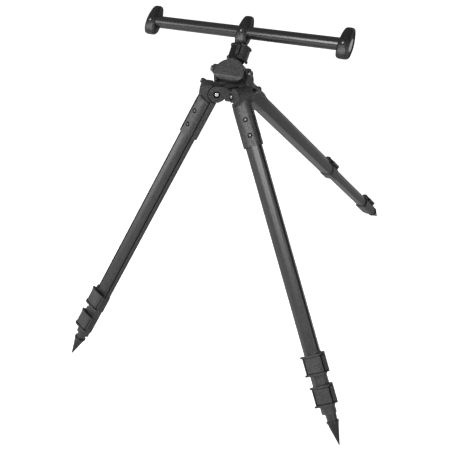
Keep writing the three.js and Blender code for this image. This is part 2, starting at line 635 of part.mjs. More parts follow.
// Collar lever: a curved plate round the right side of the collar
function collarLever() {
  const pin = collarPin();
  const low = COLLAR_BOTTOM + GAP;
  const sector = (inner, outer, from, to) => {
    const shape = new THREE.Shape();
    shape.absarc(0, 0, outer, degrees(-56), degrees(34), false);
    shape.absarc(0, 0, inner, degrees(34), degrees(-56), true);
    return prism(shape, from, to, 6);
  };
  let lever = sector(17.4, 20.4, low, COLLAR_TOP);
  lever = lever.add(sector(17.4, 22, low, low + 3));
  lever = lever.add(sector(17.4, 22, COLLAR_TOP - 3, COLLAR_TOP));
  const room = prism(twoCircleOutline(
    { x: pin.x * 0.72, y: pin.y * 0.72, r: 3.8 }, { x: pin.x, y: pin.y, r: 3.5 }, 5),
  low - 1, COLLAR_TOP + 1);
  const barrel = rod(3.2, low + 4 + GAP, COLLAR_TOP - 4 - GAP, 10).translate([pin.x, pin.y, 0]);
  const link = prism(twoCircleOutline(
    { x: pin.x, y: pin.y, r: 2 },
    { x: 19 * Math.cos(degrees(-50)), y: 19 * Math.sin(degrees(-50)), r: 1.5 }, 4),
  low + 4 + GAP, COLLAR_TOP - 4 - GAP);
  return lever.subtract(room).add(barrel).add(link)
    .subtract(rod(NECK_RADIUS + 6, low - 1, COLLAR_TOP + 1, 20))
    .subtract(rod(PIN_RADIUS + PIN_CLEARANCE, low - 1, COLLAR_TOP + 1, 8).translate([pin.x, pin.y, 0]));
}

function collarPinSolid() {
  const pin = collarPin();
  return rod(PIN_RADIUS, COLLAR_BOTTOM + GAP + 0.4, COLLAR_TOP - 0.4, 8)
    .translate([pin.x, pin.y, 0]);
}

// Stem: the spigot of the rod bar, turned to a saddle that cradles the bar
function stemSolid() {
  const saddle = turned([
    [0, 8.2], [STEM_RADIUS, 8.2], [STEM_RADIUS, COLLAR_TOP + GAP], [10.5, COLLAR_TOP + GAP],
    [10.5, STEM_FLANGE_TOP - 1], [7.5, STEM_FLANGE_TOP], [7.5, BAR_HEIGHT - 4], [0, BAR_HEIGHT - 4],
  ]);
  return saddle.subtract(
    rodAlongX(BAR_RADIUS + GAP, -30, 30, 20).translate([0, 0, BAR_HEIGHT]));
}

// Rod bar: a plain tube across the head
function barSolid() {
  const tube = rodAlongX(BAR_RADIUS, -BAR_HALF_LENGTH, BAR_HALF_LENGTH, 24);
  return tube.subtract(rodAlongX(BAR_RADIUS - 1.5, -BAR_HALF_LENGTH - 1, BAR_HALF_LENGTH + 1, 20))
    .translate([0, 0, BAR_HEIGHT]);
}

// Rest: a tall bullet-shaped block round the bar, pointed at the top and bottom
function restSolid(centre, half, cap) {
  const outline = new THREE.Shape();
  const w = REST_WIDTH / 2;
  outline.moveTo(0, REST_UP);
  outline.bezierCurveTo(6, REST_UP, 9.5, REST_UP - 4, 10.5, REST_UP - 12);
  outline.bezierCurveTo(11.5, 8, w, 3, w, -3);
  outline.bezierCurveTo(w, -12, 7, -REST_DOWN, 0, -REST_DOWN);
  outline.bezierCurveTo(-7, -REST_DOWN, -w, -12, -w, -3);
  outline.bezierCurveTo(-w, 3, -11.5, 8, -10.5, REST_UP - 12);
  outline.bezierCurveTo(-9.5, REST_UP - 4, -6, REST_UP, 0, REST_UP);
  const block = prismAlongX(outline, -half, half, 4);
  const bore = rodAlongX(BAR_RADIUS + GAP, -half - 1, half + 1, 20);
  let rest = block.subtract(cap === 0 ? bore : endBore(cap, half));
  if (cap === 0) {
    // The centre rest is cut off flat above the stem's flange
    const floor = STEM_FLANGE_TOP + GAP - BAR_HEIGHT;
    rest = rest.subtract(rod(STEM_RADIUS + 2 * GAP, -REST_DOWN - 1, 0));
    rest = rest.subtract(rod(2 * REST_WIDTH, -REST_DOWN - 1, floor));
  }
  return rest.translate([centre, 0, BAR_HEIGHT]);
}

// An end rest is blind: the bar stops inside it
function endBore(side, half) {
  const blind = rodAlongX(BAR_RADIUS + GAP, -half - 1, half - 3, 20);
  return side > 0 ? blind : blind.mirror([1, 0, 0]);
}

function makeHead() {
  const head = new THREE.Group();
  head.name = 'head_pivot';
  head.position.set(0, PIVOT.y, PIVOT.z);
  head.rotation.x = -degrees(HEAD_TILT);
  head.add(piece('tilt_knuckle', knuckleSolid(), 'cast_hub'));
  head.add(piece('tilt_bolt', tiltBolt(), 'bolt_steel'));
  head.add(piece('tilt_nut', tiltNut(), 'bolt_steel'));
  head.add(piece('head_collar', collarSolid(), 'moulded_black'));
  head.add(piece('collar_lever', collarLever(), 'lever_black'));
  head.add(piece('collar_lever_pin', collarPinSolid(), 'bolt_steel'));
  head.add(piece('bar_stem', stemSolid(), 'cast_hub'));
  head.add(piece('rod_bar', barSolid(), 'painted_tube'));
  head.add(piece('left_rest', restSolid(-REST_SPACING, REST_HALF, -1), 'rest_rubber'));
  head.add(piece('centre_rest', restSolid(0, REST_HALF, 0), 'rest_rubber'));
  head.add(piece('right_rest', restSolid(REST_SPACING, REST_HALF, 1), 'rest_rubber'));
  return head;
}

// Splay that brings a leg's tip to a given depth below its hinge
function splayFor(length, depth) {
  return Math.acos(depth / Math.hypot(length, LEG_OFFSET)) - Math.atan(LEG_OFFSET / length);
}

function makeTripod() {
  const hub = new THREE.Group();
  hub.add(piece('hub', hubSolid(), 'cast_hub'));
  let depth = 0;
  for (const { name, azimuth, side, lockSide, extension } of LEGS) {
    const leg = makeLeg(name, side, extension);
    const reach = leg.userData.tip - TIP_RADIUS;
    if (extension === 0) {
      const splay = degrees(FRONT_SPLAY);
      depth = reach * Math.cos(splay) - LEG_OFFSET * Math.sin(splay);
    }
    const hinge = new THREE.Group();
    hinge.name = `${name}_hinge`;
    hinge.position.y = HINGE_RADIUS;
    hinge.rotation.x = splayFor(reach, depth);
    hinge.add(leg);
    const arm = new THREE.Group();
    arm.rotation.z = degrees(azimuth - 90);
    const bolt = new THREE.Group();
    bolt.position.y = HINGE_RADIUS;
    bolt.add(piece(`${name}_hinge_bolt`, hingeBolt(lockSide), 'bolt_steel'));
    bolt.add(piece(`${name}_lock_lever`, lockLever(lockSide), 'lever_black'));
    arm.add(hinge, bolt);
    hub.add(arm);
  }
  hub.add(makeHead());
  hub.position.z = depth + TIP_RADIUS;
  return hub;
}

// The tripod stands on its three spikes, with the origin under the middle of its outline
const tripod = new THREE.Group();
tripod.add(makeTripod());
const outline = new THREE.Box3().setFromObject(tripod, true);
const middle = outline.getCenter(new THREE.Vector3());
tripod.position.set(-middle.x, -middle.y, -outline.min.z);

export default tripod;
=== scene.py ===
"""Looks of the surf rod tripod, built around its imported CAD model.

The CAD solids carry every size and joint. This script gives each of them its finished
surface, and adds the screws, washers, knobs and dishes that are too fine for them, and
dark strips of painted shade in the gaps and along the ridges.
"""

import json
import logging
import math
from dataclasses import dataclass
from enum import Enum
from typing import Any, ClassVar, Sequence

import bmesh
import bpy
from mathutils import Matrix, Vector

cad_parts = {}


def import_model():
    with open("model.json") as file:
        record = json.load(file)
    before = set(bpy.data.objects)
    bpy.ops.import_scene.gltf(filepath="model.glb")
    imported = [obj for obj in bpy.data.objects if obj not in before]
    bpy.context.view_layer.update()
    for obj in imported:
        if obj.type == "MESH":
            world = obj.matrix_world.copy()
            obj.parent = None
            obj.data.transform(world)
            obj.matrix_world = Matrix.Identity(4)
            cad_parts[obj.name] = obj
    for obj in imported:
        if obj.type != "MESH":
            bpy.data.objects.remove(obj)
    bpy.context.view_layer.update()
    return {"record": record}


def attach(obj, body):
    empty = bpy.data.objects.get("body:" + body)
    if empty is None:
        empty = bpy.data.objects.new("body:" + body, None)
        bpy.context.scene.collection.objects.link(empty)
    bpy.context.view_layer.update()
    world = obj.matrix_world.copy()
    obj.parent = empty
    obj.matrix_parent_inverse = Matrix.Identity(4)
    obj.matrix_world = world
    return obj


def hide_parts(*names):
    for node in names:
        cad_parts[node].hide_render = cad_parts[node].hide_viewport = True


LOG = logging.getLogger("rod_tripod")
MM = 0.001
PHOTO_PIXELS = 450
MERGE_DISTANCE = 2e-6
FLAT_ANGLE = math.radians(1.0)
SHARP_ANGLE = math.radians(34.0)
SMOOTH_ANGLE = math.radians(40.0)
# Widths of the rounded edges
PIN_EDGE = 0.2 * MM
TUBE_EDGE = 0.3 * MM
COLLAR_EDGE = 0.5 * MM
FOOT_EDGE = 0.6 * MM
# How strongly the weighted normals follow the larger face, from 1 to 100
FACE_WEIGHT = 80
# A screw's and a ring's skirt reaches this far into its seat
SKIRT = 0.4 * MM
# A groove's face is narrow and long, with a hollow fold along most of its length, and gets
# painted shade
CREVICE_FOLD = -math.radians(25.0)
CREVICE_SHARE = 0.6
CREVICE_WIDTH = 2.0 * MM
CREVICE_LENGTH = 6.0 * MM
# A crank's boss stays in place, and its arm turns fully from BOSS_BLEND further out
BOSS_RADIUS = 5.0 * MM
BOSS_BLEND = 5.0 * MM


class Slot(Enum):
    """The record's material slots."""

    TUBE = "tube_finish"
    CAST = "cast_finish"
    MOULDING = "moulding"
    LEVER = "lever_moulding"
    REST = "rest_moulding"
    FASTENER = "fastener"
    SPIKE = "spike_finish"


class Op:
    """A shader value, so that maths on it can be written as an expression."""

    def __init__(self, pen: "Pen", socket: Any) -> None:
        """Wraps one output socket.

        Args:
            pen: The drawer of the node tree that the socket belongs to.
            socket: The output socket.
        """
        self.pen = pen
        self.socket = socket

    def _math(self, operation: str, other: Any, clamp: bool = False) -> "Op":
        """Adds one Math node.

        Args:
            operation: The node's operation.
            other: Its second input, a number or another value.
            clamp: Whether the result is kept from 0 to 1.

        Returns:
            The node's result.
        """
        return self.pen.node("Math", {0: self, 1: other}, operation=operation,
                             use_clamp=clamp)

    def __add__(self, other: Any) -> "Op":
        """Sum."""
        return self._math("ADD", other)

    __radd__ = __add__

    def __mul__(self, other: Any) -> "Op":
        """Product."""
        return self._math("MULTIPLY", other)

    def __sub__(self, other: Any) -> "Op":
        """Difference."""
        return self._math("SUBTRACT", other)

    def above(self, edge: float, soft: float) -> "Op":
        """How far the value is past an edge, from 0 to 1.

        Args:
            edge: The value where the result is 0.
            soft: How much further the result reaches 1.

        Returns:
            The clamped ramp.
        """
        return (self - edge)._math("MULTIPLY", 1.0 / soft, clamp=True)


class Pen:
    """Draws a shader node tree."""

    def __init__(self, tree: Any) -> None:
        """Starts on an emptied tree.

        Args:
            tree: The node tree.
        """
        self.tree = tree
        tree.nodes.clear()

    def node(self, kind: str, inputs: dict[Any, Any] | None = None, output: Any = 0,
             **settings: Any) -> Op:
        """Adds a shader node.

        Args:
            kind: Its type, without the prefix that all of them share.
            inputs: Values or links by socket name or number.
            output: The output to hand back.
            **settings: Properties set first.

        Returns:
            That output, empty for a node that has none.
        """
        made = self.tree.nodes.new(f"ShaderNode{kind}")
        for name, value in settings.items():
            setattr(made, name, value)
        for key, value in (inputs or {}).items():
            if isinstance(value, Op):
                self.tree.links.new(value.socket, made.inputs[key])
            else:
                made.inputs[key].default_value = value
        return Op(self, made.outputs[output] if made.outputs else None)

    def mix(self, factor: Any, first: Any, second: Any) -> Op:
        """Mixes two colours.

        Args:
            factor: The share of the second.
            first: A colour or a value.
            second: A colour or a value.

        Returns:
            The mixed colour.
        """
        return self.node("Mix", {0: factor, 6: first, 7: second}, output=2,
                         data_type="RGBA")

    def place(self, scale: tuple[float, float, float] = (1.0, 1.0, 1.0),
              turn: tuple[float, float, float] = (0.0, 0.0, 0.0)) -> Op:
        """The point on the object, turned and then scaled.

        Args:
            scale: Scale along each axis, after the turn.
            turn: Euler angles.

        Returns:
            The coordinates.
        """
        point = self.node("TexCoord", output="Object")
        turned = self.node("Mapping", {"Vector": point, "Rotation": turn})
        return self.node("Mapping", {"Vector": turned, "Scale": scale})

    def noise(self, point: Op, scale: float, detail: float = 2.0, roughness: float = 0.5) -> Op:
        """Noise from 0 to 1.

        Args:
            point: The coordinates.
            scale: The noise's scale.
            detail: The number of octaves.
            roughness: How strong the fine octaves are.

        Returns:
            The noise.
        """
        return self.node("TexNoise", {"Vector": point, "Scale": scale, "Detail": detail,
                                      "Roughness": roughness})


def grey(level: float, warmth: float = 0.0) -> tuple[float, float, float, float]:
    """A near-neutral linear colour.

    Args:
        level: Its brightness.
        warmth: Share added to red and taken from blue.

    Returns:
        Red, green, blue and alpha.
    """
    return (level * (1 + warmth), level, level * (1 - warmth), 1.0)


@dataclass(frozen=True)
class Finish:
    """A surface finish with fine grain, slow tone drift, rubbed edges and painted shade in
    crevices.

    Every noise runs from 0 to 1 around NOISE_MIDDLE. The scuffs are coarser than the grain by
    SCUFF_SHARE. RUBBED and SCUFFED say where an edge's wear and a scuff's dullness set in,
    and how softly. SWING holds how much each noise changes the roughness.
    """

    NOISE_MIDDLE: ClassVar[float] = 0.5
    DRIFT_SCALE: ClassVar[float] = 22.0
    SPECK_SCALE: ClassVar[float] = 340.0
    SCUFF_SHARE: ClassVar[float] = 0.16
    SCUFF_DEPTH: ClassVar[float] = 0.5
    RUBBED: ClassVar[tuple[float, float]] = (0.38, 0.3)
    SCUFFED: ClassVar[tuple[float, float]] = (0.62, 0.2)
    SWING: ClassVar[dict[str, float]] = {"slow": 0.10, "fine": 0.08, "scuff": 0.06,
                                         "rubbed": 0.08}
    # Painted shade in crevices: a near-black, rough colour without reflection
    CREVICE_SHADE_LEVEL: ClassVar[float] = 0.003
    CREVICE_SHADE_ROUGHNESS: ClassVar[float] = 0.9

    name: str
    level: float
    roughness: float
    metallic: float
    grain_scale: float
    grain_depth: float
    drift: float
    edge_level: float
    edge_share: float
    warmth: float = 0.0
    stretch: tuple[float, float, float] = (1.0, 1.0, 1.0)
    specular: float = 0.5
    speckle: float = 0.0

    def material(self, suffix: str = "",
                 turn: tuple[float, float, float] = (0.0, 0.0, 0.0)) -> Any:
        """Builds the material once, or hands back the one already built.

        Args:
            suffix: Ending of the material's name, for a finish that follows a leg.
            turn: Euler angles that lay the finish's Z along the piece.

        Returns:
            The Blender material.
        """
        name = self.name + suffix
        if name in bpy.data.materials:
            return bpy.data.materials[name]
        made = bpy.data.materials.new(name)
        made.use_nodes = True
        pen = Pen(made.node_tree)
        point = pen.place(scale=self.stretch, turn=turn)
        slow = pen.noise(point, self.DRIFT_SCALE, 3.0)
        fine = pen.noise(point, self.grain_scale, 3.0, 0.6)
        scuff = pen.noise(point, self.grain_scale * self.SCUFF_SHARE, 4.0, 0.7)
        speck = pen.noise(pen.place(), self.SPECK_SCALE, 2.0, 0.8)
        edge = pen.node("Attribute", output="Fac", attribute_name="edge")
        crevice = pen.node("Attribute", output="Fac", attribute_name="crevice")
        slow_swing, fine_swing, speck_swing = (
            noise - self.NOISE_MIDDLE for noise in (slow, fine, speck))
        rubbed = edge * scuff.above(*self.RUBBED) * self.edge_share
        tone = (1.0 + slow_swing * (2.0 * self.drift) + fine_swing * self.drift
                + speck_swing * self.speckle)
        # The tone swings around 1, so half of it mixes black with twice the level
        base = pen.mix(tone * 0.5, grey(0.0), grey(self.level * 2.0, self.warmth))
        worn = pen.mix(rubbed, base, grey(self.edge_level, self.warmth))
        rough = (self.roughness + slow_swing * self.SWING["slow"]
                 + fine_swing * self.SWING["fine"]
                 + scuff.above(*self.SCUFFED) * self.SWING["scuff"]
                 - rubbed * self.SWING["rubbed"])
        bump = pen.node("Bump", {
            "Strength": 1.0, "Distance": self.grain_depth,
            "Height": fine + scuff * self.SCUFF_DEPTH + speck * self.speckle})
        shader = pen.node("BsdfPrincipled", {
            "Base Color": worn, "Roughness": rough, "Metallic": self.metallic,
            "Specular IOR Level": self.specular, "Normal": bump})
        # Painted shade: marked crevice faces swap the surface for this near-black shader
        hollow = pen.node("BsdfPrincipled", {
            "Base Color": grey(self.CREVICE_SHADE_LEVEL), "Roughness": self.CREVICE_SHADE_ROUGHNESS,
            "Specular IOR Level": 0.0})
        both = pen.node("MixShader", {0: crevice, 1: shader, 2: hollow})
        pen.node("OutputMaterial", {"Surface": both})
        return made


ANODISED = Finish("black_anodised_tube", 0.030, 0.32, 0.35, 900.0, 0.00004, 0.10, 0.12, 0.3,
                  stretch=(1.0, 1.0, 0.05), speckle=1.8)
BARRED = Finish("gloss_anodised_bar", 0.024, 0.24, 0.4, 900.0, 0.00003, 0.10, 0.12, 0.3,
                stretch=(1.0, 1.0, 0.05), specular=0.8, speckle=0.8)
POWDER = Finish("black_powder_coat", 0.023, 0.44, 0.1, 1400.0, 0.00010, 0.16, 0.15, 0.45,
                speckle=5.0)
MOULDED = Finish("black_moulding", 0.020, 0.40, 0.0, 1900.0, 0.00008, 0.16, 0.09, 0.35,
                 speckle=3.6)
COLLARED = Finish("glossy_collar_moulding", 0.007, 0.26, 0.0, 1900.0, 0.00006, 0.16, 0.07, 0.4,
                  specular=0.35, speckle=2.0)
LEVERED = Finish("satin_lever_moulding", 0.022, 0.38, 0.0, 1700.0, 0.00004, 0.12, 0.10, 0.4,
                 speckle=4.5)
RESTS = Finish("soft_rest_moulding", 0.010, 0.30, 0.0, 1100.0, 0.00016, 0.20, 0.05, 0.3,
               specular=0.4, speckle=4.0)
FASTENER = Finish("dark_zinc_fastener", 0.10, 0.32, 0.7, 2200.0, 0.00003, 0.15, 0.45, 0.6,
                  warmth=0.01)
# Painted shade: near black and without reflection, for the dark strips in gaps and the dark rings
# round the screws and the hinge bolts
PAINTED_SHADE = Finish("oiled_black_washer", 0.003, 0.80, 0.0, 1500.0, 0.00004, 0.10, 0.004, 0.2,
              specular=0.0)
SPIKED = Finish("blackened_steel", 0.024, 0.32, 0.5, 1300.0, 0.00006, 0.16, 0.26, 0.6,
                speckle=1.8)
# Painted highlight: a light grey for the dish in a side rest's end, where the black rest catches
# the light
DISH_HIGHLIGHT = Finish("satin_end_dish", 0.42, 0.30, 0.0, 1500.0, 0.00004, 0.15, 0.12, 0.3)
POLISHED = Finish("polished_bolt", 0.55, 0.20, 0.9, 2200.0, 0.00002, 0.10, 0.7, 0.5)

# Side of each leg that its levers' plates are on, and side that its bolt's head is on
SIDE_OF = {"left": -1, "right": 1, "back": -1}
BOLT_SIDE_OF = {"left": -1, "right": 1, "back": 1}


@dataclass(frozen=True)
class Panel:
    """A lever's panel across the leg and its lips' ends, in millimetres."""

    path: tuple[tuple[float, float], ...]
    ear: tuple[float, float]


PANELS = {
    "upper": Panel(((-0.9, 32.1), (4.1, 32.1), (5.3, 31.9), (6.5, 31.4), (7.4, 30.6),
                    (18.7, 18.7), (20.0, 17.2), (21.1, 15.5), (21.9, 13.7), (23.9, 8.4)),
                   (25.2, 10.0)),
    "lower": Panel(((-0.9, 30.6), (4.2, 30.6), (5.5, 30.4), (6.6, 29.9), (7.6, 29.1),
                    (17.4, 18.0), (18.6, 16.5), (19.7, 14.8), (20.6, 13.0), (22.5, 8.4)),
                   (23.8, 10.0)),
}

# The hollow in a side rest's end, as shares of its rim and depths below it
HOLLOW_RINGS = ((0.93, 0.0), (0.82, 0.9 * MM), (0.74, 1.0 * MM))
# The dish in that hollow, as shares of its half width and heights above its floor
DISH_PROFILE = ((1.0, -0.5 * MM), (1.0, 0.1 * MM), (0.9, 0.35 * MM), (0.4, 0.15 * MM),
                (0.05, 0.1 * MM))
DISH_POINTS = 32
# A knob from its foot to its top, as shares of its radius and of its height
KNOB_PROFILE = ((0.7, -0.5), (0.95, -0.42), (1.0, -0.25), (1.0, 0.25), (0.95, 0.42), (0.7, 0.5))
KNOB_POINTS = 16

FINISH_OF = {
    Slot.TUBE: ANODISED,
    Slot.CAST: POWDER,
    Slot.MOULDING: MOULDED,
    Slot.LEVER: LEVERED,
    Slot.REST: RESTS,
    Slot.FASTENER: FASTENER,
    Slot.SPIKE: SPIKED,
}


@dataclass(frozen=True)
class Axes:
    """A place with three directions, read from the record's joints."""

    origin: Vector
    x: Vector
    z: Vector

    @property
    def y(self) -> Vector:
        """The third direction."""
        return self.z.cross(self.x).normalized()

    def matrix(self, x: float = 0.0, y: float = 0.0, z: float = 0.0) -> Matrix:
        """The transform from these axes to the frame.

        Args:
            x: Shift along X, in metres.
            y: Shift along Y.
            z: Shift along Z.

        Returns:
            A 4 x 4 matrix.
        """
        turn = Matrix((self.x, self.y, self.z)).transposed().to_4x4()
        place = self.origin + self.x * x + self.y * y + self.z * z
        return Matrix.Translation(place) @ turn

    def angles(self) -> tuple[float, float, float]:
        """Euler angles that bring a point of the frame into these axes."""
        return tuple(Matrix((self.x, self.y, self.z)).to_euler("XYZ"))


def ring_points(radius: float, height: float, count: int = 24, sides: int = 0) -> list[Vector]:
    """Points round Z, on a circle or on a polygon's outline.

    Args:
        radius: The circle's radius, or the polygon's to its corners.
        height: Their Z.
        count: How many points.
        sides: The polygon's sides; 0 makes a circle.

    Returns:
        The points.
    """
    points = []
    for i in range(count):
        angle = 2.0 * math.pi * i / count
        reach = radius
        if sides:
            half = math.pi / sides
            reach = radius * math.cos(half) / math.cos(angle % (2.0 * half) - half)
        points.append(Vector((reach * math.cos(angle), reach * math.sin(angle), height)))
    return points


def stacked(name: str, rings: Sequence[Sequence[Vector]], transform: Matrix) -> Any:
    """Skins a closed mesh over rings of points, from the lowest to the last.

    Args:
        name: The mesh's name.
        rings: Rings of equally many points, anticlockwise seen from above.
        transform: Moves the finished points.

    Returns:
        The mesh.
    """
    count = len(rings[0])
    points = [transform @ point for ring in rings for point in ring]
    faces = [tuple(reversed(range(count)))]
    for level in range(len(rings) - 1):
        low, high = level * count, (level + 1) * count
        for i in range(count):
            j = (i + 1) % count
            faces.append((low + i, low + j, high + j, high + i))
    faces.append(tuple(range((len(rings) - 1) * count, len(rings) * count)))
    mesh = bpy.data.meshes.new(name)
    mesh.from_pydata(points, [], faces)
    for polygon in mesh.polygons:
        polygon.use_smooth = len(polygon.vertices) < 5
    mesh.set_sharp_from_angle(angle=SMOOTH_ANGLE)
    return mesh


def socket_screw(name: str, radius: float, height: float, socket: float) -> Any:
    """A low screw head with a rounded rim and a hexagon socket.

    Args:
        name: The mesh's name.
        radius: Radius of the head.
        height: Height of the head above its seat.
        socket: Radius of the socket to its corners.

    Returns:
        The mesh, with its axis along Z and its seat at the origin.
    """
    rings = [
        ring_points(radius, -SKIRT),
        ring_points(radius, height * 0.55),
        ring_points(radius * 0.93, height * 0.86),
        ring_points(radius * 0.80, height),
        ring_points(socket * 1.06, height, sides=6),
        ring_points(socket, height - 0.1 * MM, sides=6),
        ring_points(socket, height * 0.2, sides=6),
        ring_points(socket * 0.1, height * 0.12),
    ]
    return stacked(name, rings, Matrix.Identity(4))


def collar_ring(name: str, outer: float, inner: float, height: float) -> Any:
    """A washer: a flat ring with a rounded rim.

    Args:
        name: The mesh's name.
        outer: Its outer radius.
        inner: The radius of its hole.
        height: Its height.

    Returns:
        The mesh, with its axis along Z and its foot at the origin.
    """
    rings = [
        ring_points(outer, -SKIRT),
        ring_points(outer, height * 0.6),
        ring_points(outer - height * 0.4, height),
        ring_points(inner + height * 0.4, height),
        ring_points(inner, height * 0.6),
        ring_points(inner, height * 0.1),
        ring_points(inner * 0.2, height * 0.05),
    ]
    return stacked(name, rings, Matrix.Identity(4))


def box(name: str, low: Vector, high: Vector) -> Any:
    """A closed box.

    Args:
        name: The mesh's name.
        low: Its lowest corner.
        high: Its highest corner.

    Returns:
        The mesh.
    """
    corners = ((low.x, low.y), (high.x, low.y), (high.x, high.y), (low.x, high.y))
    rings = [[Vector((x, y, z)) for x, y in corners] for z in (low.z, high.z)]
    return stacked(name, rings, Matrix.Identity(4))


def ribbon(name: str, path: Sequence[Vector], drop: float, proud: float = 0.22 * MM,
           deep: float = 0.4 * MM) -> Any:
    """A thin strip that follows a path in X and Y and hangs down from Z = 0.

    Args:
        name: The mesh's name.
        path: The path, round the outside of the leg.
        drop: How far it hangs.
        proud: How far it stands out of the surface.
        deep: How far it reaches in.

    Returns:
        The mesh.
    """
    outer, inner = [], []
    for i, point in enumerate(path):
        ahead = path[min(i + 1, len(path) - 1)] - path[max(i - 1, 0)]
        normal = Vector((ahead.y, -ahead.x, 0.0)).normalized()
        if normal.dot(point) < 0.0:
            normal = -normal
        outer.append(point + normal * proud)
        inner.append(point - normal * deep)
    ring = outer + inner[::-1]
    area = sum(a.x * b.y - a.y * b.x for a, b in zip(ring, ring[1:] + ring[:1]))
    if area < 0.0:
        ring.reverse()
    rings = [[point + Vector((0.0, 0.0, z)) for point in ring] for z in (-drop, 0.0)]
    return stacked(name, rings, Matrix.Identity(4))


def linked(name: str, data: Any) -> Any:
    """Makes an object and links it to the scene.

    Args:
        name: Its name.
        data: Its mesh, lamp or camera.

    Returns:
        The object.
    """
    made = bpy.data.objects.new(name, data)
    bpy.context.scene.collection.objects.link(made)
    return made


def applied(holder: Any, modifier: Any, name: str) -> Any:
    """Takes a holder's mesh with its modifier applied, and deletes the holder.

    Args:
        holder: An object made only to carry the modifier.
        modifier: Its modifier.
        name: The result's name.

    Returns:
        The new mesh.
    """
    graph = bpy.context.evaluated_depsgraph_get()
    graph.update()
    result = bpy.data.meshes.new_from_object(holder.evaluated_get(graph))
    result.name = name
    holder.modifiers.remove(modifier)
    bpy.data.objects.remove(holder)
    return result


def joined(name: str, meshes: Sequence[Any]) -> Any:
    """Joins meshes into one.

    Args:
        name: The result's name.
        meshes: The meshes.

    Returns:
        The joined mesh.
    """
    work = bmesh.new()
    for mesh in meshes:
        work.from_mesh(mesh)
    result = bpy.data.meshes.new(name)
    work.to_mesh(result)
    work.free()
    result.set_sharp_from_angle(angle=SMOOTH_ANGLE)
    return result


def weighted(mesh: Any) -> Any:
    """Weights a mesh's normals by area, so large flats stay flat beside soft edges.

    Args:
        mesh: The mesh.

    Returns:
        The mesh with its new normals.
    """
    holder = linked(f"{mesh.name}_holder", mesh)
    modifier = holder.modifiers.new("weighted", "WEIGHTED_NORMAL")
    modifier.keep_sharp = True
    modifier.weight = FACE_WEIGHT
    return applied(holder, modifier, mesh.name)


class Row:
    """A Geometry Nodes tree that lays copies of a small mesh at even steps."""

    NAME = "row_of_copies"

    def __init__(self) -> None:
        """Builds the tree."""
        self.tree = bpy.data.node_groups.new(self.NAME, "GeometryNodeTree")
        self.sockets: dict[str, str] = {}
        face = self.tree.interface
        for name, kind in (("Copy", "Geometry"), ("Count", "Int"), ("Start", "Vector"),
                           ("Step", "Vector"), ("Axis", "Vector"), ("Spread", "Float"),
                           ("Seed", "Int"), ("Finish", "Material")):
            made = face.new_socket(name=name, in_out="INPUT", socket_type=f"NodeSocket{kind}")
            self.sockets[name] = made.identifier
        face.new_socket(name="Copies", in_out="OUTPUT", socket_type="NodeSocketGeometry")
        given, line, chance, spin, place, real, dress, result = (
            self.tree.nodes.new(kind) for kind in (
                "NodeGroupInput", "GeometryNodeMeshLine", "FunctionNodeRandomValue",
                "FunctionNodeAxisAngleToRotation", "GeometryNodeInstanceOnPoints",
                "GeometryNodeRealizeInstances", "GeometryNodeSetMaterial", "NodeGroupOutput"))
        line.mode = "OFFSET"
        chance.data_type = "FLOAT"
        # The random node's number sockets share their names, so they go by place
        for source, output, target, entry in (
                (given, "Count", line, "Count"),
                (given, "Start", line, "Start Location"),
                (given, "Step", line, "Offset"),
                (given, "Spread", chance, 3),
                (given, "Seed", chance, "Seed"),
                (given, "Axis", spin, "Axis"),
                (chance, 1, spin, "Angle"),
                (line, "Mesh", place, "Points"),
                (given, "Copy", place, "Instance"),
                (spin, "Rotation", place, "Rotation"),
                (place, "Instances", real, "Geometry"),
                (real, "Geometry", dress, "Geometry"),
                (given, "Finish", dress, "Material"),
                (dress, "Geometry", result, "Copies")):
            self.tree.links.new(source.outputs[output], target.inputs[entry])

    def lay(self, name: str, copy: Any, values: dict[str, Any]) -> Any:
        """Runs the tree and keeps its result as a plain mesh.

        Args:
            name: The result's name.
            copy: The small mesh.
            values: The tree's inputs by name.

        Returns:
            The mesh of all copies.
        """
        holder = linked(f"{name}_holder", copy)
        modifier = holder.modifiers.new(self.NAME, "NODES")
        modifier.node_group = self.tree
        for key, value in values.items():
            modifier[self.sockets[key]] = value
        return applied(holder, modifier, name)


